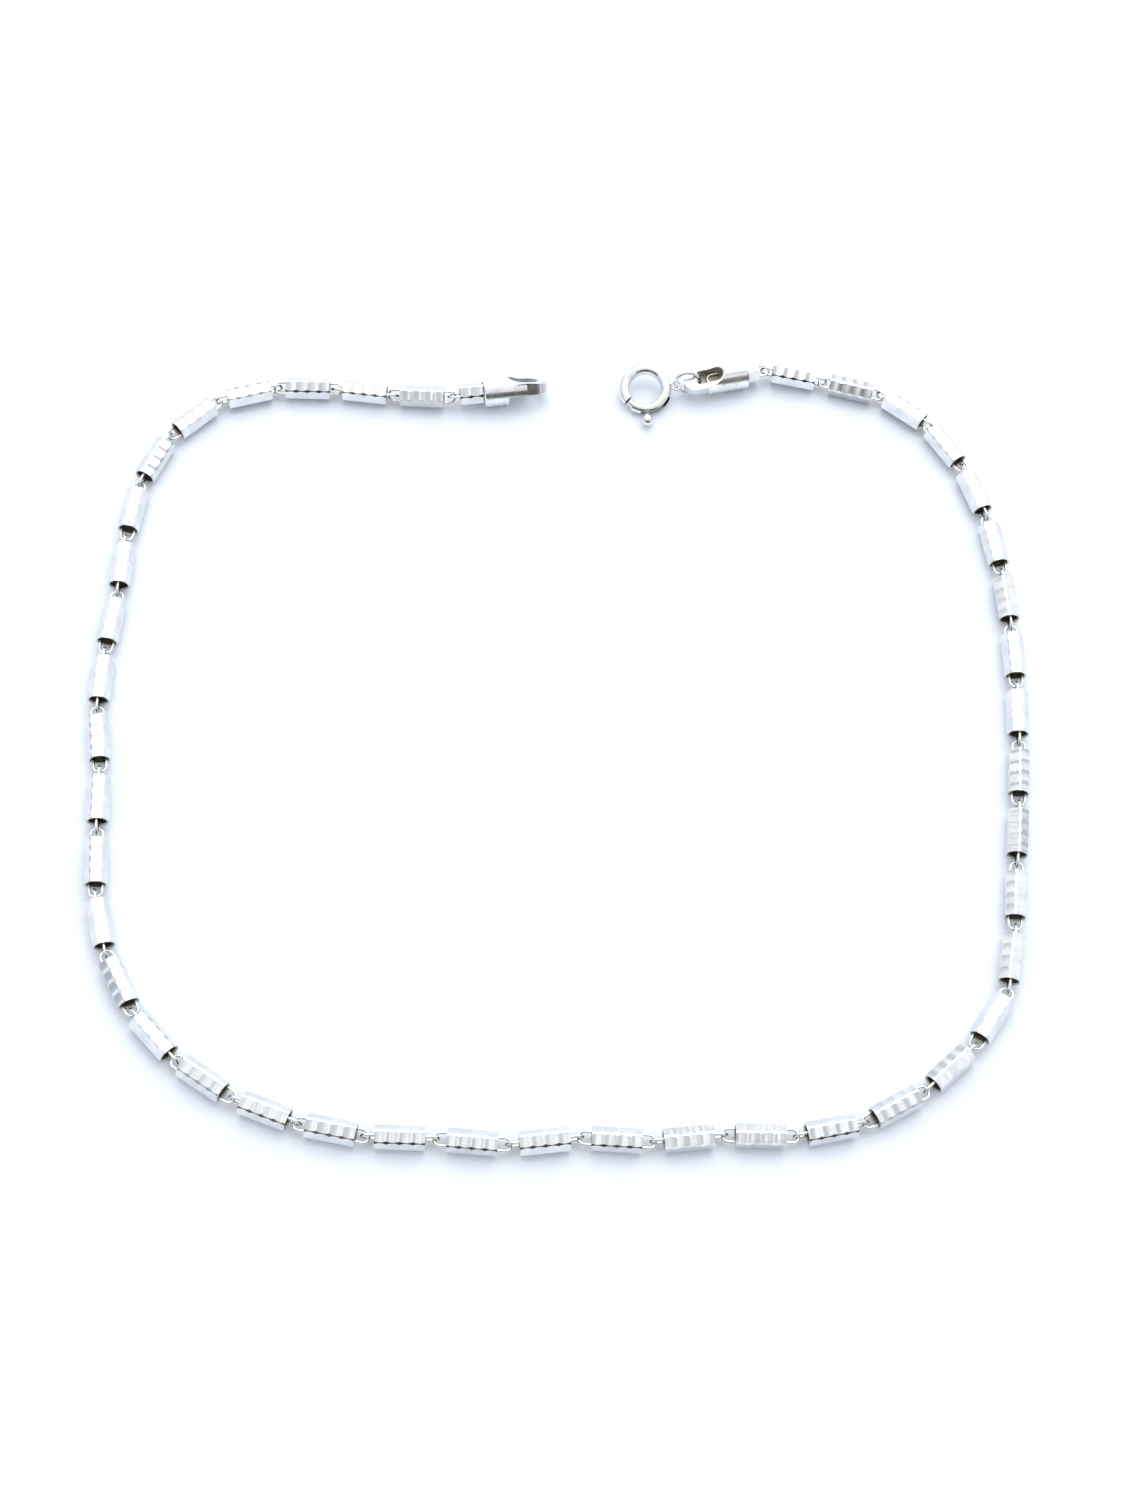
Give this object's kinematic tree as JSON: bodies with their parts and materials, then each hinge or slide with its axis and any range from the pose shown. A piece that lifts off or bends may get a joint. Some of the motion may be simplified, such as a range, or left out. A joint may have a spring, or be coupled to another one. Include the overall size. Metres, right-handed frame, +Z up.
{
  "type": "payal anklet",
  "caption": "Silver payal anklet lying open: faceted tube beads on long oval links, two capped ends, a jump ring and a spring ring clasp",
  "frame": {"origin": "centre of the bounding box on the surface that the anklet lies on", "axes": "+X across the loop, from the eye end towards the clasp end; +Y across the loop, from the front stretch to the open ends; +Z up from the surface"},
  "size_m": [0.0842, 0.0806, 0.0029],
  "materials": {
    "bead_silver": "polished silver",
    "link_silver": "polished silver wire",
    "cap_silver": "polished silver",
    "clasp_silver": "polished silver"
  },
  "bodies": {
    "anklet": {"tube_01": "bead_silver", "tube_02": "bead_silver", "tube_03": "bead_silver", "tube_04": "bead_silver", "tube_05": "bead_silver", "tube_06": "bead_silver", "tube_07": "bead_silver", "tube_08": "bead_silver", "tube_09": "bead_silver", "tube_10": "bead_silver", "tube_11": "bead_silver", "tube_12": "bead_silver", "tube_13": "bead_silver", "tube_14": "bead_silver", "tube_15": "bead_silver", "tube_16": "bead_silver", "tube_17": "bead_silver", "tube_18": "bead_silver", "tube_19": "bead_silver", "tube_20": "bead_silver", "tube_21": "bead_silver", "tube_22": "bead_silver", "tube_23": "bead_silver", "tube_24": "bead_silver", "tube_25": "bead_silver", "tube_26": "bead_silver", "tube_27": "bead_silver", "tube_28": "bead_silver", "tube_29": "bead_silver", "tube_30": "bead_silver", "tube_31": "bead_silver", "tube_32": "bead_silver", "tube_33": "bead_silver", "tube_34": "bead_silver", "tube_35": "bead_silver", "tube_36": "bead_silver", "tube_37": "bead_silver", "tube_38": "bead_silver", "tube_39": "bead_silver", "tube_40": "bead_silver", "tube_41": "bead_silver", "tube_42": "bead_silver", "end_tube_eye": "bead_silver", "end_tube_clasp": "bead_silver", "link_chain": "link_silver", "end_cap_eye": "cap_silver", "end_cap_clasp": "cap_silver", "jump_ring": "clasp_silver", "spring_ring_body": "clasp_silver"},
    "trigger": {"spring_ring_trigger": "clasp_silver"}
  },
  "joints": [
    {"name": "gate_slide", "type": "hinge", "parent": "anklet", "child": "trigger", "pos_m": [0.00544, 0.03615, 0.00111], "axis": [0, -0.2756, 0.9613], "range_deg": [-7, 56], "stiffness_Nm_per_rad": 0.00002}
  ]
}
